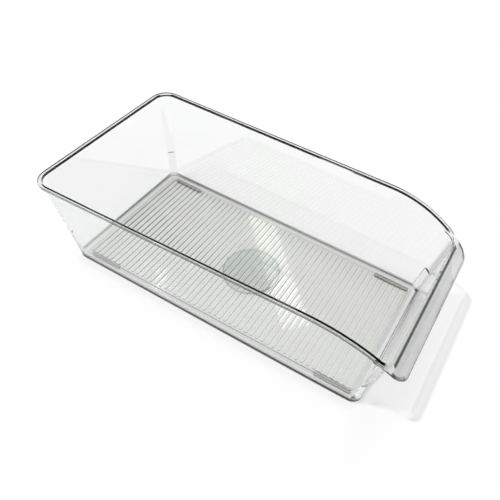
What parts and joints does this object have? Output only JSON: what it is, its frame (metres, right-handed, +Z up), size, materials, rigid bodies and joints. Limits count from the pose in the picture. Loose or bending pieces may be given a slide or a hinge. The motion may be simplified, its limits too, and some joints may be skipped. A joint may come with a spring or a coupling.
{
  "type": "fridge drawer bin",
  "caption": "Long clear drawer bin for a fridge, with an open top, a front that curves down to a pull lip, a ribbed floor panel that lifts out, and foot strips.",
  "frame": {"origin": "middle of the overall length and width, on the surface that the feet rest on", "axes": "+X across the bin, +Y from the pull lip at the front to the back wall, +Z up"},
  "size_m": [0.1968, 0.3696, 0.1051],
  "materials": {
    "clear_plastic": "clear, smooth",
    "frosted_panel": "clear, with fine ribs",
    "grey_disc": "flat grey",
    "foot_rubber": "soft, translucent grey"
  },
  "bodies": {
    "bin": {"bin_shell": "clear_plastic", "base_disc": "grey_disc", "foot_back_left": "foot_rubber", "foot_back_right": "foot_rubber", "foot_front_left": "foot_rubber", "foot_front_right": "foot_rubber"},
    "panel": {"floor_liner": "frosted_panel"}
  },
  "joints": [
    {"name": "liner_lift", "type": "slide", "parent": "bin", "child": "panel", "axis": [0, 0, 1], "range_m": [0, 0.105]}
  ]
}
